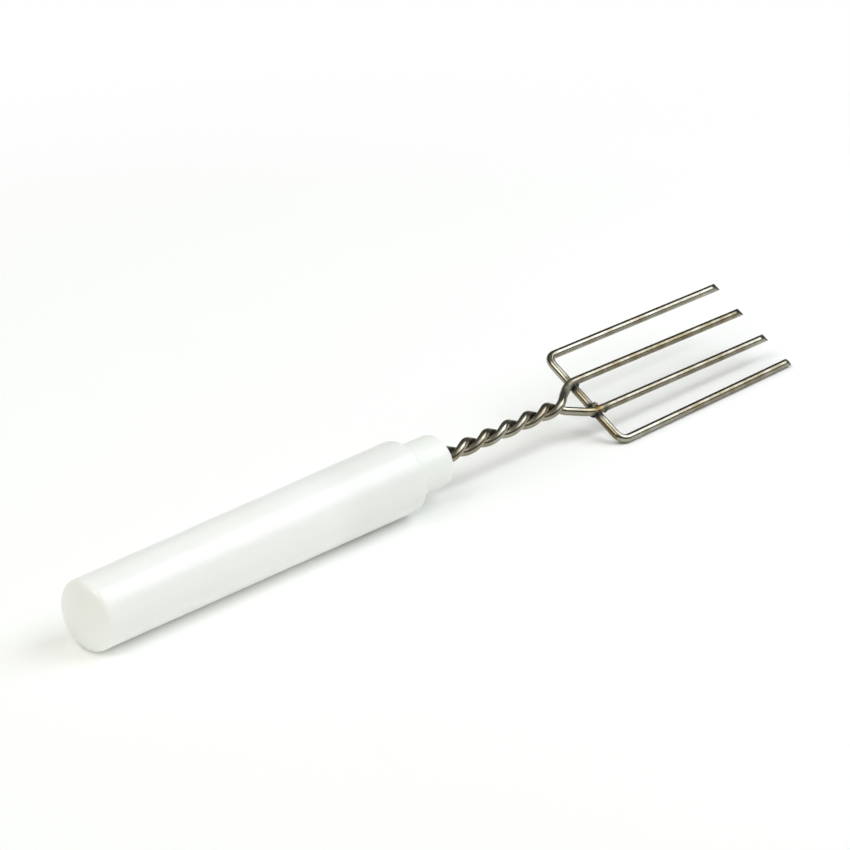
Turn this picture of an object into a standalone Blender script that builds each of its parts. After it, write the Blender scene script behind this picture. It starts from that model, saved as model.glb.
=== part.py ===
"""Chocolate dipping fork, lying on a table: moulded handle, twisted wire neck and welded head of four tines."""

import math

import bmesh
import bpy
from mathutils import Vector

# Sizes in metres. On the handle's axis x = 0 is the sleeve's mouth, and the tines point along +X.

# Handle sleeve
SLEEVE_LENGTH = 0.0914  # crown of the dome to the mouth
MOUTH_RADIUS = 0.0083  # the mould's draft makes the mouth wider than the rear
REAR_RADIUS = 0.0077
SLEEVE_WALL = 0.0017
REAR_WALL = 0.0045  # crown of the dome to the floor of the hollow
DOME_HEIGHT = 0.0029
DOME_EDGE_FILLET = 0.0012
SHOULDER_FILLET = 0.0006
HOLLOW_FILLET = 0.0015

# Nose plug
NOSE_LENGTH = 0.0110  # what stands out of the mouth
NOSE_FILLET = 0.0011
PLUG_DEPTH = 0.0240  # what is pressed into the sleeve
PLUG_LEAD = 0.0015  # lead-in chamfer at the inner end
PLUG_RISE = 0.0003  # the plug sits this much above the middle of the mouth

# Wires
WIRE_DIAMETER = 0.0020
TWIST_LAY = 0.0131  # length of one full turn of the twist
WIRE_TAIL = 0.0030  # twisted ends behind the plug
NECK_LENGTH = 0.0495  # nose to crossbar
SPREAD_LENGTH = 0.0089  # last crossing of the strands to the crossbar
TINE_LENGTH = 0.0615  # crossbar to tips
TINE_PITCH = 0.0090
CORNER_BEND = 0.0028  # bend radius on the wire's centre line, outer wire
TINE_BEND = 0.0030  # the same, inner wires
BEND_LEAD = 0.0008  # the inner wires' bends lie this far before the crossbar
SPREAD_FLARE = 0.7  # sideways slope of the strands where they part
SPREAD_SLOPE = 0.55  # the same where they reach their bends
HEAD_SET = 0.00115  # the outer wire lies this far below the neck's axis
WELD_SET_DOWN = 0.0013  # how far the welded wires are pressed into each other
TIP_RISE = 0.0001  # inner tines over outer tines, at the tips

CLEARANCE = 0.0003  # between pieces that are pressed or welded together
LAP_MARGIN = 0.0004  # extra length of the weld flats on the crossbar

TURNED_STEPS = 48
TWIST_STEPS = 16  # points on one turn of a strand
SPREAD_STEPS = 10
BEND_STEPS = 6
ARC_STEPS = 5

# What follows from the sizes above
WIRE_RADIUS = WIRE_DIAMETER / 2
TWIST_RADIUS = WIRE_RADIUS + CLEARANCE / 2
BORE_RADIUS = TWIST_RADIUS + WIRE_RADIUS + CLEARANCE
INNER_OFFSET = TINE_PITCH / 2
OUTER_OFFSET = 3 * TINE_PITCH / 2
BAR_X = NOSE_LENGTH + NECK_LENGTH
SPLIT_X = BAR_X - SPREAD_LENGTH
TIP_X = BAR_X + TINE_LENGTH
WELD_RISE = WIRE_DIAMETER - WELD_SET_DOWN

# The dome is part of a sphere, with a fillet between it and the wall
SPHERE_RADIUS = (REAR_RADIUS**2 + DOME_HEIGHT**2) / (2 * DOME_HEIGHT)
SPHERE_Z = SPHERE_RADIUS - SLEEVE_LENGTH
FILLET_R = REAR_RADIUS - DOME_EDGE_FILLET
FILLET_Z = SPHERE_Z - math.sqrt((SPHERE_RADIUS - DOME_EDGE_FILLET) ** 2 - FILLET_R**2)
DRAFT = math.atan2(MOUTH_RADIUS - REAR_RADIUS, -SHOULDER_FILLET - FILLET_Z)

# The sleeve lies on its lower side line, the neck is level, and the head rolls over until an outer tine lies flat
AXIS_HEIGHT = MOUTH_RADIUS * math.cos(DRAFT) + SHOULDER_FILLET * math.sin(DRAFT)
NECK_HEIGHT = AXIS_HEIGHT + PLUG_RISE
HEAD_REACH = math.hypot(OUTER_OFFSET, HEAD_SET)
HEAD_ROLL = math.asin((NECK_HEIGHT - WIRE_RADIUS) / HEAD_REACH) - math.atan2(HEAD_SET, OUTER_OFFSET)
MIDDLE_X = (TIP_X - SLEEVE_LENGTH * math.cos(DRAFT)) / 2
MIDDLE_Y = HEAD_SET * math.sin(HEAD_ROLL)


def clear_scene():
    for obj in list(bpy.data.objects):
        bpy.data.objects.remove(obj, do_unlink=True)


def new_collection(name, hide_render=False):
    collection = bpy.data.collections.new(name)
    collection.hide_render = hide_render
    bpy.context.scene.collection.children.link(collection)
    return collection


def new_object(name, data, collection, parent=None):
    obj = bpy.data.objects.new(name, data)
    obj.parent = parent
    collection.objects.link(obj)
    return obj


def principled(name, color, roughness, metallic=0.0):
    material = bpy.data.materials.new(name)
    material.use_nodes = True
    shader = material.node_tree.nodes["Principled BSDF"]
    shader.inputs["Base Color"].default_value = (*color, 1.0)
    shader.inputs["Roughness"].default_value = roughness
    shader.inputs["Metallic"].default_value = metallic
    return material


def arc(radius, height, size, start, end):
    """Points (radius, height) of an arc round the given centre, both ends included."""
    angles = [start + (end - start) * i / ARC_STEPS for i in range(ARC_STEPS + 1)]
    return [(radius + size * math.cos(a), height + size * math.sin(a)) for a in angles]


def wall_radius(z):
    """The sleeve's drafted outer radius at z on its axis."""
    return MOUTH_RADIUS + (z + SHOULDER_FILLET) * math.tan(DRAFT)


def hollow_radius(z):
    return wall_radius(z) - SLEEVE_WALL


def sleeve_profile():
    """From the floor of the hollow, up its wall, round the shoulder, down the outside and round the dome."""
    floor = REAR_WALL - SLEEVE_LENGTH
    corner_z = floor + HOLLOW_FILLET
    corner_r = hollow_radius(corner_z) - HOLLOW_FILLET
    dome_angle = math.atan2(FILLET_Z - SPHERE_Z, FILLET_R)
    points = [(0.0, floor)]
    points += arc(corner_r, corner_z, HOLLOW_FILLET, -math.pi / 2, 0.0)
    points += [(hollow_radius(0.0), 0.0)]
    points += arc(MOUTH_RADIUS - SHOULDER_FILLET, -SHOULDER_FILLET, SHOULDER_FILLET, math.pi / 2, 0.0)
    points += arc(FILLET_R, FILLET_Z, DOME_EDGE_FILLET, 0.0, dome_angle)
    points += arc(0.0, SPHERE_Z, SPHERE_RADIUS, dome_angle, -math.pi / 2)[1:-1]
    return points + [(0.0, -SLEEVE_LENGTH)]


def plug_profile():
    """From the middle of the nose's front, down its side and the shank to the middle of the inner end."""
    nose_radius = hollow_radius(0.0) - CLEARANCE - PLUG_RISE
    lead_z = PLUG_LEAD - PLUG_DEPTH
    shank_radius = hollow_radius(lead_z) - CLEARANCE - PLUG_RISE + lead_z * math.sin(DRAFT)
    points = [(0.0, NOSE_LENGTH)]
    points += arc(nose_radius - NOSE_FILLET, NOSE_LENGTH - NOSE_FILLET, NOSE_FILLET, math.pi / 2, 0.0)
    points += [(nose_radius, 0.0), (shank_radius, lead_z), (shank_radius - PLUG_LEAD, -PLUG_DEPTH)]
    return points + [(0.0, -PLUG_DEPTH)]


def turned(name, profile, material, collection, parent):
    """Turns a profile of (radius, z) round the handle's axis, which is the parent's X axis."""
    mesh = bpy.data.meshes.new(name)
    edges = [(i, i + 1) for i in range(len(profile) - 1)]
    mesh.from_pydata([(radius, 0.0, z) for radius, z in profile], edges, [])
    mesh.materials.append(material)
    obj = new_object(name, mesh, collection, parent)
    obj.rotation_euler = (0.0, math.pi / 2, 0.0)
    screw = obj.modifiers.new("turn", "SCREW")
    screw.steps = TURNED_STEPS
    screw.render_steps = TURNED_STEPS
    screw.use_merge_vertices = True
    screw.merge_threshold = 0.00001
    screw.use_smooth_shade = True
    return obj


def bend(before, corner, after, radius):
    """Points of a rounded bend of a wire's centre line, from the line before the corner to the one after it."""
    into = (corner - before).normalized()
    away = (after - corner).normalized()
    half = into.angle(away) / 2
    reach = radius * math.tan(half)
    centre = corner + (away - into).normalized() * radius / math.cos(half)
    start = corner - into * reach - centre
    side = start.cross(into).normalized().cross(start)
    turns = [2 * half * i / BEND_STEPS for i in range(BEND_STEPS + 1)]
    return [centre + start * math.cos(t) + side * math.sin(t) for t in turns]


def strand_path(side):
    """Centre line of one inner wire: side +1 is on top at the last crossing and becomes the upper tine."""
    rear = -PLUG_DEPTH - WIRE_TAIL
    steps = round((SPLIT_X - rear) / TWIST_LAY * TWIST_STEPS)
    points = []
    # The twist is left-handed, and both strands are one above the other where they part
    for i in range(steps + 1):
        x = rear + (SPLIT_X - rear) * i / steps
        angle = side * math.pi / 2 - 2 * math.pi * (x - SPLIT_X) / TWIST_LAY
        points.append(Vector((x, TWIST_RADIUS * math.cos(angle), TWIST_RADIUS * math.sin(angle))))
    corner = Vector((BAR_X - BEND_LEAD, side * INNER_OFFSET, WELD_RISE - HEAD_SET))
    tip = Vector((TIP_X, side * INNER_OFFSET, TIP_RISE - HEAD_SET))
    turn = bend(corner - Vector((1.0, side * SPREAD_SLOPE, 0.0)), corner, tip, TINE_BEND)
    # Between the twist and the bend the strand swings out on a cubic with the two slopes and settles on the bar
    length = turn[0].x - SPLIT_X
    for i in range(1, SPREAD_STEPS):
        t = i / SPREAD_STEPS
        smooth = t * t * (3 - 2 * t)
        flare = SPREAD_FLARE * t * (1 - t) ** 2 - SPREAD_SLOPE * t**2 * (1 - t)
        swing = turn[0].y * smooth + side * length * flare
        rise = points[steps].z + (turn[0].z - points[steps].z) * smooth
        points.append(Vector((SPLIT_X + length * t, swing, rise)))
    return points + turn + [tip]


def outer_path():
    """Centre line of the outer wire: tine, corner, crossbar, corner, tine."""
    tips = [Vector((TIP_X, side * OUTER_OFFSET, -HEAD_SET)) for side in (1, -1)]
    corners = [Vector((BAR_X, side * OUTER_OFFSET, -HEAD_SET)) for side in (1, -1)]
    points = [tips[0]]
    points += bend(tips[0], corners[0], corners[1], CORNER_BEND)
    points += bend(corners[0], corners[1], tips[1], CORNER_BEND)
    return points + [tips[1]]


def wire(name, path, material, collection, parent):
    """A round wire with square-cut ends along a centre line, as a mesh that can be cut."""
    curve = bpy.data.curves.new(name + "_line", "CURVE")
    curve.dimensions = "3D"
    curve.bevel_depth = WIRE_RADIUS
    curve.bevel_resolution = 3
    curve.use_fill_caps = True
    spline = curve.splines.new("POLY")
    spline.points.add(len(path) - 1)
    for point, place in zip(spline.points, path):
        point.co = (*place, 1.0)
    line = new_object(name + "_line", curve, collection)
    evaluated = line.evaluated_get(bpy.context.evaluated_depsgraph_get())
    mesh = bpy.data.meshes.new_from_object(evaluated)
    bpy.data.objects.remove(line)
    mesh.name = name
    bm = bmesh.new()
    bm.from_mesh(mesh)
    bmesh.ops.remove_doubles(bm, verts=bm.verts, dist=0.000001)
    bmesh.ops.recalc_face_normals(bm, faces=bm.faces)
    bm.to_mesh(mesh)
    bm.free()
    mesh.materials.clear()
    mesh.materials.append(material)
    mesh.shade_smooth()
    mesh.set_sharp_from_angle(angle=math.radians(40))
    return new_object(name, mesh, collection, parent)


def as_cutter(name, bm, collection, parent):
    mesh = bpy.data.meshes.new(name)
    bm.to_mesh(mesh)
    bm.free()
    cutter = new_object(name, mesh, collection, parent)
    cutter.hide_render = True
    cutter.display_type = "WIRE"
    return cutter


def box_cutter(name, low, high, collection, parent):
    bm = bmesh.new()
    bmesh.ops.create_cube(bm, size=1.0)
    cutter = as_cutter(name, bm, collection, parent)
    cutter.location = (Vector(low) + Vector(high)) / 2
    cutter.scale = Vector(high) - Vector(low)
    return cutter


def bore_cutter(name, radius, start, end, collection, parent):
    """A cylinder along the parent's X axis."""
    bm = bmesh.new()
    bmesh.ops.create_cone(
        bm, cap_ends=True, segments=TURNED_STEPS // 2, radius1=radius, radius2=radius, depth=end - start
    )
    cutter = as_cutter(name, bm, collection, parent)
    cutter.location = ((start + end) / 2, 0.0, 0.0)
    cutter.rotation_euler = (0.0, math.pi / 2, 0.0)
    return cutter


def cut(obj, cutter):
    boolean = obj.modifiers.new("cut " + cutter.name, "BOOLEAN")
    boolean.operation = "DIFFERENCE"
    boolean.solver = "EXACT"
    boolean.object = cutter


def build():
    clear_scene()
    fork = new_collection("chocolate_dipping_fork")
    cutters = new_collection("cutters", hide_render=True)

    white = principled("white_moulded_plastic", (0.86, 0.88, 0.86), 0.32)
    natural = principled("natural_white_plastic", (0.83, 0.85, 0.84), 0.38)
    steel = principled("drawn_steel_wire", (0.56, 0.53, 0.47), 0.24, 1.0)

    # The handle's axis rises with the draft as the sleeve lies on the table, and the neck's axis is level
    handle_axis = new_object("handle_axis", None, fork)
    handle_axis.location = (-MIDDLE_X, -MIDDLE_Y, AXIS_HEIGHT)
    handle_axis.rotation_euler = (0.0, -DRAFT, 0.0)
    neck_axis = new_object("neck_axis", None, fork)
    neck_axis.location = (-MIDDLE_X, -MIDDLE_Y, NECK_HEIGHT)
    neck_axis.rotation_euler = (HEAD_ROLL, 0.0, 0.0)

    turned("handle_sleeve", sleeve_profile(), white, fork, handle_axis)
    plug = turned("nose_plug", plug_profile(), natural, fork, neck_axis)
    upper = wire("inner_wire_upper", strand_path(1), steel, fork, neck_axis)
    lower = wire("inner_wire_lower", strand_path(-1), steel, fork, neck_axis)
    outer = wire("outer_wire", outer_path(), steel, fork, neck_axis)

    # The plug's bore follows the neck's axis
    bore_start = -PLUG_DEPTH - WIRE_TAIL
    bore_end = NOSE_LENGTH + WIRE_TAIL
    cut(plug, bore_cutter("wire_bore", BORE_RADIUS, bore_start, bore_end, cutters, neck_axis))

    # Weld flats: each wire loses half of the set-down where it meets the other
    flat = WELD_RISE / 2 - HEAD_SET
    room = WIRE_RADIUS + CLEARANCE
    reach = INNER_OFFSET + WIRE_DIAMETER
    low = (BAR_X - room, -reach, flat - WIRE_DIAMETER)
    under = box_cutter("crossbar_room", low, (BAR_X + room, reach, flat + CLEARANCE / 2), cutters, neck_axis)
    cut(upper, under)
    cut(lower, under)
    for side, name in ((1, "upper_flat"), (-1, "lower_flat")):
        half = room + LAP_MARGIN
        low = (BAR_X - WIRE_DIAMETER, side * INNER_OFFSET - half, flat - CLEARANCE / 2)
        high = (BAR_X + WIRE_DIAMETER, side * INNER_OFFSET + half, flat + WIRE_DIAMETER)
        cut(outer, box_cutter(name, low, high, cutters, neck_axis))


build()
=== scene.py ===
import math

import bpy
import numpy as np
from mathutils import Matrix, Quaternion, Vector


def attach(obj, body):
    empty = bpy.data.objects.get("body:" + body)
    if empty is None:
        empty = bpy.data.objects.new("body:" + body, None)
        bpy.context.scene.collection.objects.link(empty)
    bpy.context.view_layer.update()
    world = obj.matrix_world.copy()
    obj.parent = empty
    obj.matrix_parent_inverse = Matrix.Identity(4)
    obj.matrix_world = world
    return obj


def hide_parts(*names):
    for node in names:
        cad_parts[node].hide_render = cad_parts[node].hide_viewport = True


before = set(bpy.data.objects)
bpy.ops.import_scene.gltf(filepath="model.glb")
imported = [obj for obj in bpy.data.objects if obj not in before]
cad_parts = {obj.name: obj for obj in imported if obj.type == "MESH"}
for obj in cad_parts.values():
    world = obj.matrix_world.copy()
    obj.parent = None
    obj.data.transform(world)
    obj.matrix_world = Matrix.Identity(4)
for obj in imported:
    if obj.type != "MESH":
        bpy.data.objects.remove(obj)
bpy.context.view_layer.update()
print("frame loaded:", ", ".join(sorted(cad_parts)))

mm = 0.001
scene = bpy.context.scene
scene.view_settings.view_transform = "Standard"

# how the fork lies on the table, in millimetres and degrees, the same as in the part
lay = {
    "mouthX": -15.301,  # where the sleeve's mouth is, along the table
    "sideY": -0.562,
    "axisHeight": 8.304,  # sleeve's axis over the table, at the mouth
    "neckHeight": 8.604,  # the plug sits a little higher than the sleeve's axis
    "draft": 0.3936,
    "roll": 29.271,  # the head leans over until one outer tine lies down
}


def axisFrame(height, pitch=0.0, roll=0.0):
    # origin at the mouth and three unit vectors: along the fork, across it, and out of the head's plane
    p, r = math.radians(pitch), math.radians(roll)
    along = np.array([math.cos(p), 0.0, math.sin(p)])
    lift = np.array([-math.sin(p), 0.0, math.cos(p)])
    side = np.array([0.0, 1.0, 0.0])
    across = side * math.cos(r) + lift * math.sin(r)
    out = lift * math.cos(r) - side * math.sin(r)
    return np.array([lay["mouthX"], lay["sideY"], height]), np.stack([along, across, out])


sleeveFrame = axisFrame(lay["axisHeight"], pitch=lay["draft"])
headFrame = axisFrame(lay["neckHeight"], roll=lay["roll"])


def toTable(points, axes):
    # millimetres on a piece's own axes to metres on the table
    origin, vectors = axes
    return (origin + points @ vectors) * mm


def quadGrid(rows, columns, wrapRows):
    # corner numbers of a grid's quads; columns always close on themselves, rows only if asked
    last = rows if wrapRows else rows - 1
    i, j = np.meshgrid(np.arange(last), np.arange(columns), indexing="ij")
    i2, j2 = (i + 1) % rows, (j + 1) % columns
    corners = np.stack([i * columns + j, i * columns + j2, i2 * columns + j2, i2 * columns + j], -1)
    return corners.reshape(-1, 4)


def fan(pole, ring, flip):
    # triangles from one pole to a ring of corners
    after = np.roll(ring, -1)
    triangles = np.stack([np.full(len(ring), pole), ring, after], -1)
    return triangles[:, ::-1] if flip else triangles


def outward(points, quads, triangles):
    # the enclosed volume, summed over tetrahedra to the origin, is negative where faces point inwards
    tri = np.concatenate([quads[:, [0, 1, 2]], quads[:, [0, 2, 3]], triangles])
    a, b, c = (points[tri[:, k]] for k in range(3))
    if np.einsum("ij,ij->i", a, np.cross(b, c)).sum() < 0:
        return quads[:, ::-1], triangles[:, ::-1]
    return quads, triangles


class Skin:
    # one closed surface: points, quads, triangles and values on its points
    def __init__(self, grid, axes, wrapRows=False, values=None):
        rows, columns = grid.shape[:2]
        points = grid.reshape(-1, 3)
        values = {k: np.asarray(v, float).reshape(rows * columns, -1) for k, v in (values or {}).items()}
        quads = quadGrid(rows, columns, wrapRows)
        triangles = np.zeros((0, 3), int)
        if not wrapRows:
            ends = [np.arange(columns), np.arange(columns) + (rows - 1) * columns]
            count = len(points)
            triangles = np.concatenate([fan(count, ends[0], True), fan(count + 1, ends[1], False)])
            points = np.concatenate([points, [points[e].mean(0) for e in ends]])
            values = {k: np.concatenate([v, [v[e].mean(0) for e in ends]]) for k, v in values.items()}
        points = toTable(points, axes)
        self.quads, self.triangles = outward(points - points.mean(0), quads, triangles)
        self.points, self.values = points, values


def makePiece(name, skins, material, node=None, sharp=35.0):
    # joins the surfaces into one mesh, writes the point values as attributes, and puts the piece on the part
    mesh = bpy.data.meshes.new(name)
    start, points, faces = 0, [], []
    for skin in skins:
        points.append(skin.points)
        faces += (skin.quads + start).tolist() + (skin.triangles + start).tolist()
        start += len(skin.points)
    mesh.from_pydata(np.concatenate(points).tolist(), [], faces)
    for key in skins[0].values:
        data = np.concatenate([skin.values[key] for skin in skins])
        kind, field = ("FLOAT_VECTOR", "vector") if data.shape[1] == 3 else ("FLOAT", "value")
        mesh.attributes.new(key, kind, "POINT").data.foreach_set(field, data.astype(np.float32).ravel())
    mesh.materials.append(material)
    mesh.shade_smooth()
    mesh.set_sharp_from_angle(angle=math.radians(sharp))
    mesh.update()
    piece = bpy.data.objects.new(name, mesh)
    scene.collection.objects.link(piece)
    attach(piece, "root")
    if node:
        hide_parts(node)
    print("made", name, len(mesh.vertices), "points")


# shader helpers: plain functions on one node tree
def addNode(tree, kind, **settings):
    node = tree.nodes.new(kind)
    for key, value in settings.items():
        setattr(node, key, value)
    return node


def feed(tree, node, **inputs):
    # a socket gets a link from another socket, or a plain value
    for key, value in inputs.items():
        socket = node.inputs[int(key[1:])] if key[0] == "i" and key[1:].isdigit() else node.inputs[key]
        if isinstance(value, bpy.types.NodeSocket):
            tree.links.new(value, socket)
        else:
            socket.default_value = value
    return node


def calc(tree, operation, a, b=0.0, clamp=False):
    node = feed(tree, addNode(tree, "ShaderNodeMath", operation=operation, use_clamp=clamp), i0=a, i1=b)
    return node.outputs[0]


def blendColor(tree, share, a, b, mode="MIX"):
    node = addNode(tree, "ShaderNodeMix", data_type="RGBA", blend_type=mode)
    return feed(tree, node, i0=share, i6=a, i7=b).outputs[2]


def stretchVector(tree, vector, scale):
    node = addNode(tree, "ShaderNodeVectorMath", operation="MULTIPLY")
    return feed(tree, node, i0=vector, i1=scale).outputs[0]


def noise(tree, vector, scale, detail=3.0, roughness=0.55):
    node = addNode(tree, "ShaderNodeTexNoise")
    node.inputs["Scale"].default_value = scale
    node.inputs["Detail"].default_value = detail
    node.inputs["Roughness"].default_value = roughness
    tree.links.new(vector, node.inputs["Vector"])
    return node.outputs["Fac"]


def ramp(tree, value, stops):
    node = addNode(tree, "ShaderNodeValToRGB")
    elements = node.color_ramp.elements
    elements.remove(elements[1])
    elements[0].position = stops[0][0]
    elements[0].color = (*stops[0][1], 1.0)
    for place, color in stops[1:]:
        elements.new(place).color = (*color, 1.0)
    tree.links.new(value, node.inputs["Fac"])
    return node.outputs["Color"]


def newGroup(name, inputs, outputs):
    group = bpy.data.node_groups.new(name, "ShaderNodeTree")
    for label, kind in inputs:
        group.interface.new_socket(label, in_out="INPUT", socket_type="NodeSocket" + kind)
    for label, kind in outputs:
        group.interface.new_socket(label, in_out="OUTPUT", socket_type="NodeSocket" + kind)
    return group, addNode(group, "NodeGroupInput"), addNode(group, "NodeGroupOutput")


def newMaterial(name):
    material = bpy.data.materials.new(name)
    material.use_nodes = True
    tree = material.node_tree
    return material, tree, tree.nodes["Principled BSDF"]


def placeGroup(tree, group, **inputs):
    node = addNode(tree, "ShaderNodeGroup", node_tree=group)
    return feed(tree, node, **inputs)


# moulded plastic: faint cloudy tone, fine mould grain, and hair marks from handling along the handle
mouldMarks = {
    "cloud": 90.0,  # scales of the patterns, per metre
    "grain": 2600.0,
    "hairs": (40.0, 2200.0, 2200.0),
    "cloudShare": 0.9,
    "grainRough": 0.08,
    "grainHeight": 0.6,
    "hairHeight": 0.4,
}


def mouldedSkin():
    group, into, out = newGroup(
        "mouldedSkin",
        [("Place", "Vector"), ("Tone", "Color"), ("Dull", "Color"), ("Gloss", "Float")],
        [("Color", "Color"), ("Roughness", "Float"), ("Height", "Float")],
    )
    place = into.outputs["Place"]
    cloud = noise(group, place, mouldMarks["cloud"], 2.0)
    grain = noise(group, place, mouldMarks["grain"], 2.0)
    hairs = noise(group, stretchVector(group, place, mouldMarks["hairs"]), 1.0, 2.0)
    share = calc(group, "MULTIPLY", cloud, mouldMarks["cloudShare"])
    color = blendColor(group, share, into.outputs["Tone"], into.outputs["Dull"])
    unpolished = calc(group, "MULTIPLY", grain, mouldMarks["grainRough"])
    roughness = calc(group, "ADD", into.outputs["Gloss"], unpolished)
    grainHeight = calc(group, "MULTIPLY", grain, mouldMarks["grainHeight"])
    height = calc(group, "ADD", grainHeight, calc(group, "MULTIPLY", hairs, mouldMarks["hairHeight"]))
    feed(group, out, Color=color, Roughness=roughness, Height=height)
    return group


# drawn wire: long die lines, blotches of handling, temper colours where a weld was hot, and soot black, which
# also serves as painted shade in the gaps round the welds and as a painted dark reflection on the cut faces
wireMarks = {
    "dieLines": (70.0, 2600.0, 2600.0),  # scales of the patterns, per metre
    "blotch": 260.0,
    "fine": 2100.0,
    "blotchGain": 2.0,
    "unevenness": 0.9,  # of temper colours and soot
    "temper": [
        (0.0, (1.0, 1.0, 1.0)),
        (0.15, (1.0, 0.97, 0.88)),
        (0.38, (1.0, 0.80, 0.46)),
        (0.58, (0.86, 0.58, 0.42)),
        (0.76, (0.50, 0.50, 0.60)),
        (0.95, (0.62, 0.70, 0.80)),
    ],
    # the same black serves for soot, for painted shade and for a painted dark reflection
    "sootAndShade": (0.018, 0.018, 0.018, 1.0),
    "sootAndShadeCover": 0.9,  # how far full soot hides the metal
    "lineRough": 0.10,
    "filmRough": 0.06,
    "burntRough": 0.2,
    "scuffRough": 0.3,
}


def drawnSkin():
    group, into, out = newGroup(
        "drawnSkin",
        [
            ("Skin", "Vector"),
            ("Heat", "Float"),
            ("SootAndShade", "Float"),
            ("Stain", "Float"),
            ("Scuff", "Float"),
            ("Steel", "Color"),
            ("Film", "Color"),
            ("Gloss", "Float"),
        ],
        [("Color", "Color"), ("Roughness", "Float"), ("Metallic", "Float"), ("Height", "Float")],
    )
    skin, heat, sootAndShade = into.outputs["Skin"], into.outputs["Heat"], into.outputs["SootAndShade"]
    dieLines = noise(group, stretchVector(group, skin, wireMarks["dieLines"]), 1.0, 3.0)
    blotch = noise(group, skin, wireMarks["blotch"], 3.0, 0.6)
    fine = noise(group, skin, wireMarks["fine"], 2.0)
    patchy = calc(group, "MULTIPLY", calc(group, "SUBTRACT", blotch, 0.5), wireMarks["blotchGain"])
    film = calc(group, "ADD", into.outputs["Stain"], patchy, clamp=True)
    clean = blendColor(group, film, into.outputs["Steel"], into.outputs["Film"])
    uneven = calc(group, "MULTIPLY", calc(group, "SUBTRACT", fine, 0.5), wireMarks["unevenness"])
    warm = calc(group, "MULTIPLY", heat, calc(group, "ADD", uneven, 1.0), clamp=True)
    temper = ramp(group, warm, wireMarks["temper"])
    color = blendColor(group, 1.0, clean, temper, "MULTIPLY")
    # the soot mark turns the metal black: burnt scale, and also painted shade in the gaps round the welds and a
    # painted dark reflection on the cut faces
    sootAndShadeShare = calc(group, "MULTIPLY", sootAndShade, calc(group, "ADD", uneven, 1.0), clamp=True)
    color = blendColor(group, sootAndShadeShare, color, wireMarks["sootAndShade"])
    burnt = calc(group, "MAXIMUM", heat, sootAndShade)
    rough = into.outputs["Gloss"]
    for mark, amount in (
        (dieLines, wireMarks["lineRough"]),
        (film, wireMarks["filmRough"]),
        (burnt, wireMarks["burntRough"]),
        (into.outputs["Scuff"], wireMarks["scuffRough"]),
    ):
        rough = calc(group, "ADD", rough, calc(group, "MULTIPLY", mark, amount))
    height = calc(group, "ADD", dieLines, calc(group, "MULTIPLY", fine, burnt))
    bare = calc(group, "SUBTRACT", 1.0, calc(group, "MULTIPLY", sootAndShadeShare, wireMarks["sootAndShadeCover"]))
    feed(group, out, Color=color, Roughness=rough, Metallic=bare, Height=height)
    return group


mouldedGroup = mouldedSkin()
drawnGroup = drawnSkin()


# light scattered inside the plastic
milkDepth = {"radius": (1.0, 1.0, 0.9), "scale": 0.0022}


def plasticMaterial(name, look):
    material, tree, shader = newMaterial(name)
    place = addNode(tree, "ShaderNodeTexCoord").outputs["Object"]
    skin = placeGroup(tree, mouldedGroup, Place=place, Tone=look["tone"], Dull=look["dull"], Gloss=look["gloss"])
    bump = addNode(tree, "ShaderNodeBump")
    feed(tree, bump, Strength=look["grain"], Distance=look["grainDepth"], Height=skin.outputs["Height"])
    shader.inputs["IOR"].default_value = look["ior"]
    shader.inputs["Subsurface Weight"].default_value = look["milk"]
    shader.inputs["Subsurface Radius"].default_value = milkDepth["radius"]
    shader.inputs["Subsurface Scale"].default_value = milkDepth["scale"]
    color, roughness = skin.outputs["Color"], skin.outputs["Roughness"]
    # painted shade: the sleeve is darkened where the plug inside keeps light from shining through its wall
    if "plugShade" in look:
        color = plugPaintedShade(tree, place, color, look["plugShade"])
    feed(tree, shader, Roughness=roughness, Normal=bump.outputs["Normal"])
    tree.links.new(color, shader.inputs["Base Color"])
    passLamps(tree, shader, look["through"])
    return material


def plugPaintedShade(tree, place, color, plugShade):
    # painted shade: darker over the stretch that has the plug inside, where less light passes through the wall,
    # with a soft change at the plug's rear end
    along = feed(tree, addNode(tree, "ShaderNodeSeparateXYZ"), Vector=place).outputs["X"]
    step = addNode(tree, "ShaderNodeMapRange", interpolation_type="SMOOTHSTEP")
    tree.links.new(along, step.inputs["Value"])
    step.inputs["From Min"].default_value = (lay["mouthX"] + plugShade["from"]) * mm
    step.inputs["From Max"].default_value = (lay["mouthX"] + plugShade["to"]) * mm
    return blendColor(tree, step.outputs["Result"], color, plugShade["shadeTint"], "MULTIPLY")


def passLamps(tree, shader, through):
    # thin white plastic lets a part of the lamps' light through each face, which softens its shadow
    clear = feed(tree, addNode(tree, "ShaderNodeBsdfTransparent"), Color=(through,) * 3 + (1.0,))
    lampRay = addNode(tree, "ShaderNodeLightPath").outputs["Is Shadow Ray"]
    mix = addNode(tree, "ShaderNodeMixShader")
    feed(tree, mix, Fac=lampRay, i1=shader.outputs[0], i2=clear.outputs[0])
    tree.links.new(mix.outputs[0], tree.nodes["Material Output"].inputs["Surface"])


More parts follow.
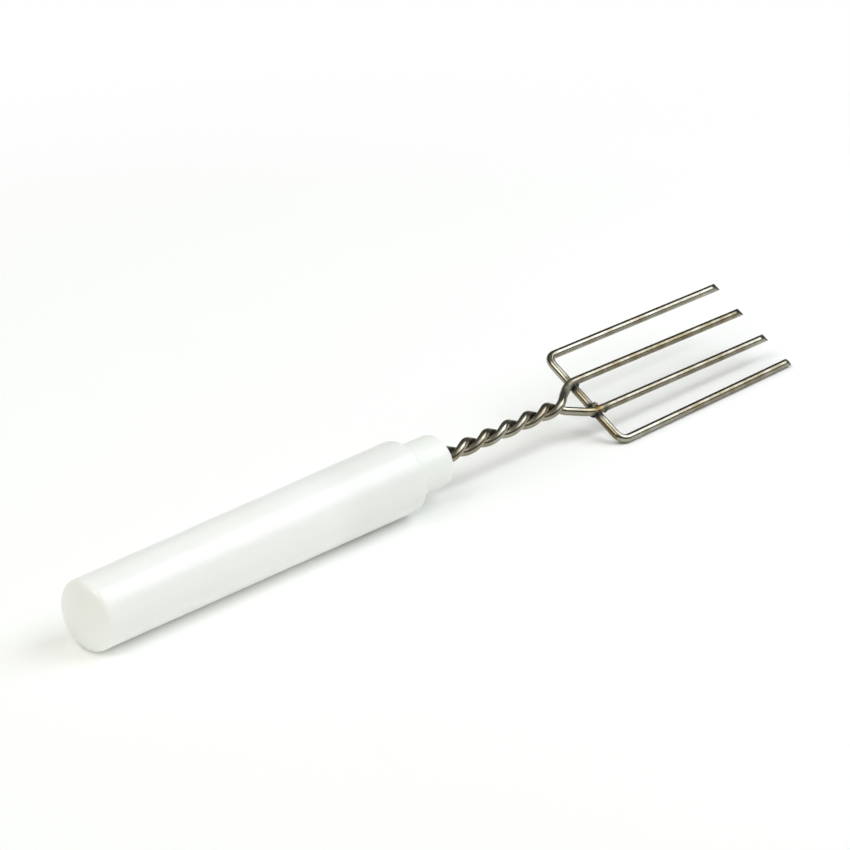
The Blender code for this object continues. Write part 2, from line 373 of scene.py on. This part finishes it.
def steelMaterial(name, look):
    material, tree, shader = newMaterial(name)
    skinPlace = addNode(tree, "ShaderNodeAttribute", attribute_name="skin").outputs["Vector"]
    skin = placeGroup(tree, drawnGroup, Skin=skinPlace)
    for socket, value in (("Heat", "temper"), ("SootAndShade", "sootAndShade"), ("Stain", "stain"), ("Scuff", "scuff")):
        mark = addNode(tree, "ShaderNodeAttribute", attribute_name=value)
        tree.links.new(mark.outputs["Fac"], skin.inputs[socket])
    feed(tree, skin, Steel=look["steel"], Film=look["film"], Gloss=look["gloss"])
    bump = addNode(tree, "ShaderNodeBump")
    feed(tree, bump, Strength=look["lines"], Distance=look["lineDepth"], Height=skin.outputs["Height"])
    shader.inputs["Specular IOR Level"].default_value = look["sootAndShadeSheen"]
    color, roughness, bare = (skin.outputs[key] for key in ("Color", "Roughness", "Metallic"))
    feed(tree, shader, Roughness=roughness, Metallic=bare, Normal=bump.outputs["Normal"])
    tree.links.new(color, shader.inputs["Base Color"])
    return material


def arc(radius, place, size, start, end, steps):
    # points (place along the axis, radius) on an arc, angles in degrees from the axis' forward side
    a = np.radians(np.linspace(start, end, steps))
    return np.stack([place + size * np.cos(a), radius + size * np.sin(a)], -1)


def turned(profile, around):
    # surface of revolution: each profile point goes round the axis in equal steps
    a = np.linspace(0.0, 2 * np.pi, around, endpoint=False)
    x, r = profile[:, :1], profile[:, 1:]
    return np.stack([x + 0 * a, r * np.cos(a), r * np.sin(a)], -1)


# handle sleeve: a drafted tube, closed behind by a low dome with a soft rim, open at the mouth
sleeve = {
    "length": 91.4,
    "mouthRadius": 8.3,
    "rearRadius": 7.7,
    "wall": 1.7,
    "rearWall": 4.5,
    "domeHeight": 2.9,
    "rimFillet": 1.6,
    "shoulder": 0.6,
    "lip": 0.25,  # rounding of the mouth's inner edge
    "hollowFillet": 1.5,
    "poleHole": 0.02,  # the hollow's floor is closed over this radius by a fan
    "steps": {"dome": 26, "rim": 12, "wall": 60, "shoulder": 10, "lip": 5, "bore": 30, "corner": 8},
    "around": 192,
    "look": {
        "tone": (0.92, 0.94, 0.895, 1.0),
        "dull": (0.905, 0.925, 0.875, 1.0),
        "gloss": 0.25,
        "grain": 0.05,
        "grainDepth": 0.04 * mm,
        "ior": 1.5,
        "milk": 0.5,
        "through": 0.54,  # share of the lamps' light that passes each face
        # painted shade: where the plug is inside, the sleeve's colour is darkened as if less light came through
        # the wall
        "plugShade": {"from": -29.0, "to": -17.5, "shadeTint": (0.935, 0.935, 0.94, 1.0)},  # where the plug is inside
    },
}


def sleeveProfile(s):
    # crown, dome arc, rim fillet, drafted wall, shoulder, mouth, hollow wall, hollow floor
    steps = s["steps"]
    ball = (s["rearRadius"] ** 2 + s["domeHeight"] ** 2) / (2 * s["domeHeight"])
    ballX = ball - s["length"]
    rimR = s["rearRadius"] - s["rimFillet"]
    rimX = ballX - math.sqrt((ball - s["rimFillet"]) ** 2 - rimR**2)
    meet = math.degrees(math.atan2(rimR, rimX - ballX))  # where the dome passes into the rim's fillet
    dome = arc(0.0, ballX, ball, 180.0, meet, steps["dome"])
    rim = arc(rimR, rimX, s["rimFillet"], meet, 90.0, steps["rim"])[1:]
    wallX = np.linspace(rimX, -s["shoulder"], steps["wall"])[1:-1]
    slope = (s["mouthRadius"] - s["rearRadius"]) / (-s["shoulder"] - rimX)
    wall = np.stack([wallX, s["rearRadius"] + slope * (wallX - rimX)], -1)
    shoulderR = s["mouthRadius"] - s["shoulder"]
    shoulder = arc(shoulderR, -s["shoulder"], s["shoulder"], 90.0, 0.0, steps["shoulder"])
    inner = s["mouthRadius"] - s["wall"]
    floor = s["rearWall"] - s["length"]
    lip = arc(inner + s["lip"], -s["lip"], s["lip"], 0.0, -90.0, steps["lip"])
    innerX = np.linspace(-s["lip"] - 0.05, floor + s["hollowFillet"], steps["bore"])[1:-1]
    bore = np.stack([innerX, inner + slope * innerX], -1)
    cornerR = inner + slope * (floor + s["hollowFillet"]) - s["hollowFillet"]
    corner = arc(cornerR, floor + s["hollowFillet"], s["hollowFillet"], 90.0, 180.0, steps["corner"])
    middle = np.array([[floor, cornerR * 0.5], [floor, s["poleHole"]]])
    return np.concatenate([dome[1:], rim, wall, shoulder, lip, bore, corner, middle])


sleevePlastic = plasticMaterial("whiteMouldedPlastic", sleeve["look"])
makePiece(
    "handleSleeve",
    [Skin(turned(sleeveProfile(sleeve), sleeve["around"]), sleeveFrame)],
    sleevePlastic,
    "handle_sleeve",
)

# twist of the two strands, shared by the strands and by the hole they fill in the plug
twist = {
    "lay": 13.27,  # one full turn
    "part": 52.05,  # where the even twist would bring the strands one above the other
    "early": 0.55,  # the last half turn is tighter by this
    "earlyReach": 0.3,  # in turns
    "radius": 1.03,
    "wireRadius": 1.0,
}


def twistX(turns):
    # place along the neck, a number of turns before the strands part
    tighter = twist["early"] * np.exp(-((turns / twist["earlyReach"]) ** 2))
    return twist["part"] - twist["lay"] * turns - tighter


# nose plug: a smooth round nose with a rounded front edge, and a tight hole that turns with the strands
plug = {
    "nose": 11.0,
    "radius": 6.0,
    "edge": 1.1,
    "depth": 24.0,
    "shank": 5.68,
    "lead": 1.5,
    "holeGap": 0.05,
    "holeWaist": 0.42,  # smallest radius, in the valleys between the strands
    "rings": (2.6, 3.0),  # inner radius of the front face and of the back one
    "steps": {"edge": 12, "nose": 14, "shank": 12, "face": 6, "hole": 90},
    "around": 168,
    "look": {
        "tone": (0.87, 0.895, 0.85, 1.0),
        "dull": (0.845, 0.875, 0.83, 1.0),
        "gloss": 0.33,
        "grain": 0.06,
        "grainDepth": 0.04 * mm,
        "ior": 1.48,
        "milk": 0.5,
        "through": 0.4,
    },
}


def twinHole(x, a):
    # radius of the outline of two touching wires, seen from the axis, turned by the twist at x
    turns = (twist["part"] - x) / twist["lay"]
    turn = np.pi / 2 + 2 * np.pi * turns
    across = np.abs(np.cos(a - turn))
    reach = twist["radius"] * across
    beside = twist["wireRadius"] ** 2 - (twist["radius"] ** 2) * (1 - across**2)
    return np.maximum(reach + np.sqrt(np.maximum(beside, 0.0)), plug["holeWaist"]) + plug["holeGap"]


def plugGrid(p):
    # outside: nose edge, nose, shank and lead turned round the axis; inside: the strands' hole, back to front
    steps = p["steps"]
    front = arc(p["radius"] - p["edge"], p["nose"] - p["edge"], p["edge"], 0.0, 90.0, steps["edge"])
    noseX = np.linspace(p["nose"] - p["edge"], 0.0, steps["nose"])[1:-1]
    nose = np.stack([noseX, np.full(len(noseX), p["radius"])], -1)
    shankX = np.linspace(0.0, p["lead"] - p["depth"], steps["shank"])
    shank = np.stack([shankX, np.linspace(p["radius"], p["shank"], steps["shank"])], -1)
    back = np.array([[-p["depth"], p["shank"] - p["lead"]], [-p["depth"], p["rings"][1]]])
    faceR = np.linspace(p["rings"][0], p["radius"] - p["edge"], steps["face"])[:-1]
    face = np.stack([np.full(len(faceR), p["nose"]), faceR], -1)
    outside = turned(np.concatenate([face, front, nose, shank, back]), p["around"])
    a = np.linspace(0.0, 2 * np.pi, p["around"], endpoint=False)
    x = np.linspace(-p["depth"], p["nose"], steps["hole"])[:, None]
    r = twinHole(x, a[None, :])
    inside = np.stack([x + 0 * a, r * np.cos(a), r * np.sin(a)], -1)
    return np.concatenate([outside, inside])


plugPlastic = plasticMaterial("naturalWhitePlastic", plug["look"])
# the plug's own axes are rolled with the head, so that its hole meets the strands
plugSkin = Skin(plugGrid(plug), headFrame, wrapRows=True)
makePiece("nosePlug", [plugSkin], plugPlastic, "nose_plug")


def evenPath(knots, step, soften):
    # the line through the knots, walked in equal steps, then averaged with a bell curve so that bends are round
    length = np.concatenate([[0.0], np.cumsum(np.linalg.norm(np.diff(knots, axis=0), axis=1))])
    count = int(round(length[-1] / step)) + 1
    walk = np.linspace(0.0, length[-1], count)
    line = np.stack([np.interp(walk, length, knots[:, k]) for k in range(3)], -1)
    reach = int(round(3 * soften / step))
    bell = np.exp(-0.5 * (np.arange(-reach, reach + 1) * step / soften) ** 2)
    bell /= bell.sum()
    before = line[0] + (line[0] - line[1]) * np.arange(reach, 0, -1)[:, None]
    after = line[-1] + (line[-1] - line[-2]) * np.arange(1, reach + 1)[:, None]
    padded = np.concatenate([before, line, after])
    return np.stack([np.convolve(padded[:, k], bell, "valid") for k in range(3)], -1)


def bend(before, corner, after, radius, steps=14):
    # an arc that touches both legs of a corner, turned step by step from one leg to the other
    legs = [(np.array(p) - corner) / np.linalg.norm(np.array(p) - corner) for p in (before, after)]
    half = math.acos(float(legs[0] @ legs[1])) / 2
    middle = legs[0] + legs[1]
    centre = corner + middle / np.linalg.norm(middle) * radius / math.sin(half)
    start = corner + legs[0] * radius / math.tan(half) - centre
    end = corner + legs[1] * radius / math.tan(half) - centre
    sweep = np.pi - 2 * half
    t = np.linspace(0.0, 1.0, steps)[:, None]
    return centre + (start * np.sin((1 - t) * sweep) + end * np.sin(t * sweep)) / math.sin(sweep)


# a wire's shape where it was pressed and where side cutters snipped it
wireEnds = {
    "spread": 0.4,  # a pressed wire widens by this share of what it loses in height
    "rows": 7,
    "flare": 1.08,  # the cutters' edge leaves the tip a little wider
    "clear": 0.05,  # the round wire stops this far before the slanting faces
}


def wireGrid(path, radius, around, pressed, dents=(), cutStart=None, cutEnd=None):
    # a circle carried along the path, flatter where pressed and dented at some places; side cutters leave two
    # slanting faces, cut = (slant, thickness left at the end)
    rows = wireEnds["rows"]
    tangent = np.gradient(path, axis=0)
    tangent /= np.linalg.norm(tangent, axis=1, keepdims=True)
    side = np.cross(tangent, [0.0, 0.0, -1.0])
    side /= np.linalg.norm(side, axis=1, keepdims=True)
    up = np.cross(side, tangent)
    up *= np.sign(up[:, 2:])
    a = np.linspace(0.0, 2 * np.pi, around, endpoint=False)
    press = markAt(path, pressed)[:, None, None]
    ring = side[:, None] * (np.cos(a)[:, None] * (1 + wireEnds["spread"] * press))
    ring = (ring + up[:, None] * (np.sin(a) - press[..., 0] * np.sin(a) ** 3)[..., None]) * radius
    for place, depth, size in dents:
        gap = np.linalg.norm(path[:, None] + ring - np.array(place), axis=-1, keepdims=True)
        ring = ring * (1 - depth / radius * np.exp(-((gap / size) ** 2)))
    grid = path[:, None] + ring
    walk = np.concatenate([[0.0], np.cumsum(np.linalg.norm(np.diff(path, axis=0), axis=1))])
    walk = np.repeat(walk[:, None], around, 1)
    cutFace = np.zeros_like(walk)
    for end, cut in ((0, cutStart), (-1, cutEnd)):
        if cut is None:
            continue
        slant, edge = cut
        height = np.sin(a)[None, :] * np.linspace(1.0, edge, rows)[:, None] * radius
        back = np.maximum(np.abs(height) - edge * np.abs(np.sin(a)) * radius, 0.0) * slant
        away = tangent[end] if end else -tangent[end]
        wide = np.linspace(1.0, wireEnds["flare"], rows)[:, None] * np.cos(a)[None, :] * radius
        tip = path[end] + side[end] * wide[..., None] + up[end] * height[..., None]
        tip = tip - away * back[..., None]
        snipped = radius * slant * (1 - edge) + wireEnds["clear"]
        keep = np.linalg.norm(grid.mean(1) - path[end], axis=1) > snipped
        grid, walk, cutFace = grid[keep], walk[keep], cutFace[keep]
        tipWalk = np.full((rows, around), walk[end, 0])
        grid = np.concatenate([grid, tip] if end else [tip[::-1], grid])
        walk = np.concatenate([walk, tipWalk] if end else [tipWalk, walk])
        fresh = np.repeat((np.arange(rows) > 0)[:, None] * 1.0, around, 1)
        cutFace = np.concatenate([cutFace, fresh] if end else [fresh[::-1], cutFace])
    skin = np.stack([walk, np.cos(a) * radius + 0 * walk, np.sin(a) * radius + 0 * walk], -1) * mm
    return grid, skin, cutFace


# inner wires: the two strands, from behind the plug to their tips, in the head's own axes
strands = {
    "tail": -27.0,
    "around": 36,
    "step": 0.2,
    "soften": 0.45,
    "legs": {
        1: [
            (52.3, 0.46, 0.95),
            (53.75, 1.52, 0.62),
            (55.95, 2.78, 0.12),
            (58.0, 3.86, -0.34),
            (59.9, 4.5, -0.38),
        ],
        -1: [
            (52.6, -1.1, -1.03),
            (54.95, -2.35, -0.9),
            (57.7, -4.03, -0.55),
            (59.4, -4.55, -0.45),
        ],
    },
    "tines": {
        1: [(62.0, 4.58, -0.46), (122.0, 4.46, -1.08)],
        -1: [(62.5, -4.66, -0.48), (122.0, -4.61, -1.08)],
    },
    "cut": {1: (2.5, 0.04), -1: (2.5, 0.04)},
    "helixSteps": 260,
    "dents": {1: [((56.3, 3.15, 0.95), 0.18, 0.3)], -1: [((59.9, -4.4, 0.6), 0.12, 0.5)]},
    "pressed": {1: [((57.0, 3.3, 0.0), 0.13, 2.4)], -1: [((60.1, -4.5, -0.5), 0.12, 1.6)]},
    "look": {
        "steel": (0.362, 0.348, 0.284, 1.0),
        "film": (0.19, 0.155, 0.086, 1.0),
        "gloss": 0.15,
        "lines": 0.06,
        "lineDepth": 0.03 * mm,
        "sootAndShadeSheen": 0.05,  # soot stays black, and the bare metal mirrors all the same
    },
    "stain": {1: 0.4, -1: 0.34},
}

# marks in the head's axes: place, strength and reach of temper colours, soot and painted shade, brown stain and
# scuffs
marks = {
    "heat": [
        ((60.4, -4.6, 0.45), 0.5, 1.35),
        ((58.4, -4.2, 0.35), 0.33, 1.3),
        ((59.8, -5.35, 0.1), 0.97, 0.6),
        ((60.2, 5.9, -0.2), 0.85, 0.4),
        ((61.2, 4.7, 0.4), 0.12, 1.5),
    ],
    # black spots: burnt scale at the crossings; the ones round the lower weld's upper lump are painted shade in
    # the gap where it meets the wires
    "sootAndShade": [
        ((59.3, -3.0, -0.2), 1.23, 0.85),
        ((58.95, -3.3, -0.7), 1.17, 0.65),
        ((61.0, -2.6, -0.3), 1.17, 0.45),
        ((59.1, -5.8, -0.4), 1.23, 0.85),
        ((60.3, -2.75, -0.1), 1.04, 0.39),
        ((61.5, -3.3, -0.8), 1.17, 0.45),
        ((60.8, -3.85, 0.0), 0.91, 0.39),
        ((58.5, -4.7, -1.0), 1.17, 0.39),
        ((58.8, -5.25, -1.2), 1.23, 0.9),
        ((59.6, -5.3, -1.0), 1.04, 0.45),
        ((62.3, -5.05, -0.45), 1.26, 0.95),
        ((60.0, -6.05, -0.15), 1.17, 0.9),
        ((59.5, 3.0, -0.4), 1.26, 1.0),
        ((60.8, 3.1, -0.4), 1.23, 0.8),
        ((61.3, 3.6, -0.8), 0.98, 0.85),
        ((62.4, 4.0, -1.2), 0.65, 1.12),
        ((56.25, 3.1, 0.95), 0.65, 0.28),
        ((60.1, 5.9, -0.4), 0.52, 0.8),
    ],
    "stain": [
        ((60.0, 0.5, -1.0), 0.75, 5.0),
        ((100.0, -13.2, -1.2), 0.7, 30.0),
        # a brown line beside the lower weld, and the second tine is browner all along, painted shade for the
        # darker underside it shows
        *[((58.87, y, -0.55), 1.6, 0.6) for y in np.arange(-12.6, -6.0, 0.75)],
        *[((x, 4.5, -0.8), 0.8, 3.0) for x in np.arange(64.0, 122.0, 2.0)],
    ],
    "scuff": [((56.6, 2.9, 0.6), 1.0, 2.0), ((58.6, 4.0, 0.3), 0.7, 1.2)],
    # cut faces painted nearly black: their dull sheared metal, and a painted dark reflection
    "cutDullAndShade": 0.95,
}


def markAt(points, spots):
    # bell curves of the distance to each spot, of which the strongest counts
    def bell(place, strength, reach):
        gap = np.linalg.norm(points - np.array(place), axis=-1)
        return strength * np.exp(-((gap / reach) ** 2))

    return np.max([bell(*spot) for spot in spots], axis=0)


def steelValues(grid, skin, stain, cutFace=0.0):
    # cut faces are sheared and dull, and are also painted nearly black as a painted dark reflection, so they
    # count with the soot mark; each stain has its own stretch of the blotches
    sootAndShade = np.maximum(markAt(grid, marks["sootAndShade"]), marks["cutDullAndShade"] * cutFace)
    stains = np.maximum(markAt(grid, marks["stain"]), stain)
    heat, scuff = markAt(grid, marks["heat"]), markAt(grid, marks["scuff"])
    return {"skin": skin + stain, "temper": heat, "sootAndShade": sootAndShade, "stain": stains, "scuff": scuff}


def strandPath(which):
    # one of two opposite helices up to where the strands part, then its leg over the crossbar and its tine
    turns = np.linspace((twist["part"] - strands["tail"]) / twist["lay"], 0.0, strands["helixSteps"])
    angle = which * np.pi / 2 + 2 * np.pi * turns
    helix = np.stack([twistX(turns), twist["radius"] * np.cos(angle), twist["radius"] * np.sin(angle)], -1)
    knots = np.concatenate([helix, strands["legs"][which], strands["tines"][which]])
    return evenPath(knots, strands["step"], strands["soften"])


steel = steelMaterial("drawnSteelWire", strands["look"])


def strandSkin(which):
    grid, skin, cutFace = wireGrid(
        strandPath(which),
        twist["wireRadius"],
        strands["around"],
        strands["pressed"][which],
        strands["dents"][which],
        cutEnd=strands["cut"][which],
    )
    return Skin(grid, headFrame, values=steelValues(grid, skin, strands["stain"][which], cutFace))


for which, name, node in ((1, "innerWireUpper", "inner_wire_upper"), (-1, "innerWireLower", "inner_wire_lower")):
    makePiece(name, [strandSkin(which)], steel, node)

# outer wire: tine, corner, crossbar, corner, tine; the lying tine opens out a little towards its corner
outer = {
    "radius": 1.0,
    "around": 36,
    "step": 0.2,
    "soften": 0.5,
    "corner": (2.5, 2.0),
    "knots": [(122.2, 13.33, -1.15), (60.45, 13.42, -1.15), (59.62, -14.06, -0.835), (122.0, -13.02, -1.37)],
    "pressed": [((60.2, 4.5, -1.0), 0.1, 1.5), ((60.0, -4.5, -1.0), 0.1, 1.5)],
    "cutStart": (2.5, 0.04),
    "cutEnd": (2.4, 0.4),
    "stain": 0.2,
}


def outerPath(o):
    # straight legs with an arc at each of the two corners
    ends = np.array(o["knots"])
    arcs = [bend(ends[k - 1], ends[k], ends[k + 1], o["corner"][k - 1]) for k in (1, 2)]
    return evenPath(np.concatenate([ends[:1], *arcs, ends[3:]]), o["step"], o["soften"])


def outerSkin(o):
    grid, skin, cutFace = wireGrid(
        outerPath(o), o["radius"], o["around"], o["pressed"], cutStart=o["cutStart"], cutEnd=o["cutEnd"]
    )
    return Skin(grid, headFrame, values=steelValues(grid, skin, o["stain"], cutFace))


makePiece("outerWire", [outerSkin(outer)], steel, "outer_wire")

# welds: small lumps of melted steel in the corners of each crossing, with a few beads of spatter
welds = {
    1: [
        ((60.3, 4.5, -0.8), (1.3, 1.35, 0.6), 0.3),
        ((61.3, 3.45, -0.75), (0.5, 0.45, 0.4), 1.9),
        ((59.5, 3.35, -0.7), (0.45, 0.45, 0.4), 3.1),
    ],
    -1: [
        ((60.1, -4.5, -0.75), (1.45, 1.3, 0.65), 0.9),
        ((60.85, -3.15, -0.4), (0.7, 0.62, 0.6), 2.4),
        ((59.95, -5.2, -0.03), (0.55, 0.42, 0.45), 4.1),
        ((58.9, -4.95, -1.2), (0.75, 0.65, 0.6), 5.2),
        ((62.25, -5.2, -0.75), (0.72, 0.55, 0.55), 6.0),
    ],
    "rows": 26,
    "columns": 36,
    "poleGap": 0.06,  # in radians; a fan closes the rest
    "swell": (0.10, 0.07, 0.05),
    "stain": 0.4,
}


def lump(place, size, seed):
    # an ellipsoid whose radius swells and sinks with three waves round it
    u = np.linspace(welds["poleGap"], np.pi - welds["poleGap"], welds["rows"])[:, None]
    v = np.linspace(0.0, 2 * np.pi, welds["columns"], endpoint=False)[None, :]
    first, second, third = welds["swell"]
    swell = 1 + first * np.sin(3 * v + seed) * np.sin(u) + second * np.sin(5 * v - 2 * seed) * np.sin(2 * u)
    swell = swell + third * np.sin(4 * u + 3 * seed) * np.cos(2 * v)
    ball = np.stack([np.sin(u) * np.cos(v), np.sin(u) * np.sin(v), np.cos(u) + 0 * v], -1)
    grid = np.array(place) + ball * swell[..., None] * np.array(size)
    return Skin(grid, headFrame, values=steelValues(grid, grid * mm, welds["stain"]))


for which, name in ((1, "weldUpper"), (-1, "weldLower")):
    makePiece(name, [lump(*spot) for spot in welds[which]], steel)

# floor: pale and matt, wide enough to fill every view
floorLook = {
    "half": 3.0,
    "squares": 8,
    "sink": 0.02 * mm,  # below the pieces that lie on it
    "roughness": 0.9,
    "tone": (0.98, 0.985, 0.97, 1.0),
    "shade": (0.965, 0.975, 0.955, 1.0),
    "near": 0.13,  # within this distance of the fork's middle the floor is only lit
    "far": 0.32,  # and past this one it is plain white to the eye
}


def seenRays(tree):
    # 1 for rays that see a surface directly, mirrored or through glass, and 0 for rays that light others
    path = addNode(tree, "ShaderNodeLightPath")
    share = calc(tree, "MAXIMUM", path.outputs["Is Camera Ray"], path.outputs["Is Glossy Ray"])
    return calc(tree, "MAXIMUM", share, path.outputs["Is Transmission Ray"])


def makeFloor(f):
    # a flat square grid a hair below the table's height, and its material
    count = f["squares"] + 1
    t = np.linspace(-f["half"], f["half"], count)
    x, y = np.meshgrid(t, t, indexing="ij")
    points = np.stack([x, y, 0 * x - f["sink"]], -1).reshape(-1, 3)
    i, j = np.meshgrid(np.arange(count - 1), np.arange(count - 1), indexing="ij")
    corner = i * count + j
    faces = np.stack([corner, corner + count, corner + count + 1, corner + 1], -1).reshape(-1, 4)
    mesh = bpy.data.meshes.new("paleFloor")
    mesh.from_pydata(points.tolist(), [], faces.tolist())
    material, tree, shader = newMaterial("paleTable")
    place = addNode(tree, "ShaderNodeTexCoord").outputs["Object"]
    color = blendColor(tree, noise(tree, place, 14.0, 2.0), f["tone"], f["shade"])
    tree.links.new(color, shader.inputs["Base Color"])
    shader.inputs["Roughness"].default_value = f["roughness"]
    shader.inputs["Specular IOR Level"].default_value = 0.0
    away = feed(tree, addNode(tree, "ShaderNodeVectorMath", operation="LENGTH"), i0=place)
    step = addNode(tree, "ShaderNodeMapRange", interpolation_type="SMOOTHSTEP")
    tree.links.new(away.outputs["Value"], step.inputs["Value"])
    step.inputs["From Min"].default_value = f["near"]
    step.inputs["From Max"].default_value = f["far"]
    share = calc(tree, "MULTIPLY", step.outputs["Result"], seenRays(tree))
    white = feed(tree, addNode(tree, "ShaderNodeEmission"), Color=(1.0, 1.0, 1.0, 1.0), Strength=1.0)
    mix = addNode(tree, "ShaderNodeMixShader")
    feed(tree, mix, Fac=share, i1=shader.outputs[0], i2=white.outputs[0])
    tree.links.new(mix.outputs[0], tree.nodes["Material Output"].inputs["Surface"])
    mesh.materials.append(material)
    floor = bpy.data.objects.new("paleFloor", mesh)
    scene.collection.objects.link(floor)


makeFloor(floorLook)

# light: a panel on the right and a weaker one above it, one overhead to the left, a wide weak one behind the
# fork, a small weak one behind the handle's end, and a soft room
light = {
    "right": {
        "toward": (0.653, -0.34, 0.676),
        "far": 1.0,
        "wide": 0.72,
        "tall": 0.58,
        "turn": 37.6,  # its long side lies across the tines, so that their bright line is broad
        "level": 3.2,
        "color": (0.96, 1.0, 1.1),
    },
    "left": {
        "toward": (-0.58, -0.04, 0.81),
        "far": 1.1,
        "wide": 0.6,
        "tall": 0.6,
        "turn": 0.0,
        "level": 3.62,
        "color": (0.995, 1.0, 0.965),
    },
    "top": {
        "toward": (0.25, -0.45, 0.857),
        "far": 1.0,
        "wide": 0.5,
        "tall": 0.85,
        "turn": -30.0,  # from straight overhead down to the front, for the long bright lines on the twist
        "level": 1.88,
        "color": (1.0, 1.0, 1.0),
    },
    "back": {
        "toward": (-0.05, 0.66, 0.75),
        "far": 1.2,
        "wide": 0.95,
        "tall": 0.95,
        "turn": 0.0,
        "level": 1.55,
        "color": (1.0, 1.0, 0.96),
    },
    "rear": {
        "toward": (-0.8, 0.25, 0.55),
        "far": 1.2,
        "wide": 0.6,
        "tall": 0.6,
        "turn": 0.0,
        "level": 0.5,
        "color": (1.0, 1.0, 1.0),
    },
    "room": {"level": 0.02, "front": 0.44, "toward": (-0.55, -0.82, 0.15), "color": (1.0, 0.985, 0.88)},
    "backdrop": [(0.02, 1.0), (0.08, 0.1), (0.65, 0.11), (0.97, 0.35)],  # height of the direction, brightness
}


def panelLamp(name, panel):
    # a flat panel that faces the fork; its power gives the wanted brightness over its area
    lamp = bpy.data.lights.new(name, "AREA")
    lamp.shape = "RECTANGLE"
    lamp.size, lamp.size_y = panel["wide"], panel["tall"]
    lamp.energy = math.pi * panel["wide"] * panel["tall"] * panel["level"]
    lamp.color = panel["color"]
    stand = bpy.data.objects.new(name, lamp)
    toward = Vector(panel["toward"]).normalized()
    stand.location = toward * panel["far"]
    stand.rotation_mode = "QUATERNION"
    turn = Quaternion((0.0, 0.0, 1.0), math.radians(panel["turn"]))
    stand.rotation_quaternion = toward.to_track_quat("Z", "Y") @ turn
    scene.collection.objects.link(stand)
    return stand


panelLamp("rightPanel", light["right"])
panelLamp("leftPanel", light["left"])
panelLamp("topPanel", light["top"])
panelLamp("backPanel", light["back"]).visible_glossy = False
panelLamp("rearPanel", light["rear"]).visible_glossy = False


def makeRoom(room, backdrop):
    # soft light for the surfaces, mostly from the front; seen directly or mirrored, a white backdrop at the
    # horizon under a dim ceiling
    world = bpy.data.worlds.new("paleRoom")
    scene.world = world
    world.use_nodes = True
    tree = world.node_tree
    tree.nodes.clear()
    direction = addNode(tree, "ShaderNodeTexCoord").outputs["Generated"]
    height = feed(tree, addNode(tree, "ShaderNodeSeparateXYZ"), Vector=direction).outputs["Z"]
    seen = ramp(tree, height, [(place, (level,) * 3) for place, level in backdrop])
    direct = addNode(tree, "ShaderNodeLightPath").outputs["Is Camera Ray"]
    seen = blendColor(tree, direct, seen, (1.0, 1.0, 1.0, 1.0))
    share = seenRays(tree)
    facing = addNode(tree, "ShaderNodeVectorMath", operation="DOT_PRODUCT")
    feed(tree, facing, i0=direction, i1=room["toward"])
    glow = calc(tree, "MULTIPLY", calc(tree, "MAXIMUM", facing.outputs["Value"], 0.0), room["front"])
    strength = calc(tree, "ADD", glow, room["level"])
    even = feed(tree, addNode(tree, "ShaderNodeBackground"), Color=(*room["color"], 1.0), Strength=strength)
    view = feed(tree, addNode(tree, "ShaderNodeBackground"), Color=seen, Strength=1.0)
    mix = addNode(tree, "ShaderNodeMixShader")
    feed(tree, mix, Fac=share, i1=even.outputs[0], i2=view.outputs[0])
    out = addNode(tree, "ShaderNodeOutputWorld")
    tree.links.new(mix.outputs[0], out.inputs["Surface"])


makeRoom(light["room"], light["backdrop"])

# camera: the photograph's place and lens, for a square picture
view = {
    "azimuth": -45.765,
    "elevation": 24.323,
    "far": 694.85,
    "target": (8.298, 14.984, 8.0),
    "focal": 3092.8,  # in pixels
    "pixels": 850,
    "sensor": 36.0,
    "nearest": 0.01,
}


def makeCamera(v):
    a, e = math.radians(v["azimuth"]), math.radians(v["elevation"])
    back = Vector((math.sin(a) * math.cos(e), -math.cos(a) * math.cos(e), math.sin(e)))
    data = bpy.data.cameras.new("photoCamera")
    data.sensor_fit = "HORIZONTAL"
    data.sensor_width = v["sensor"]
    data.lens = v["focal"] * v["sensor"] / v["pixels"]
    data.clip_start = v["nearest"]
    camera = bpy.data.objects.new("photoCamera", data)
    camera.location = (Vector(v["target"]) + back * v["far"]) * mm
    camera.rotation_mode = "QUATERNION"
    camera.rotation_quaternion = (-back).to_track_quat("-Z", "Y")
    scene.collection.objects.link(camera)
    scene.camera = camera


makeCamera(view)
print("stage, light and camera made")
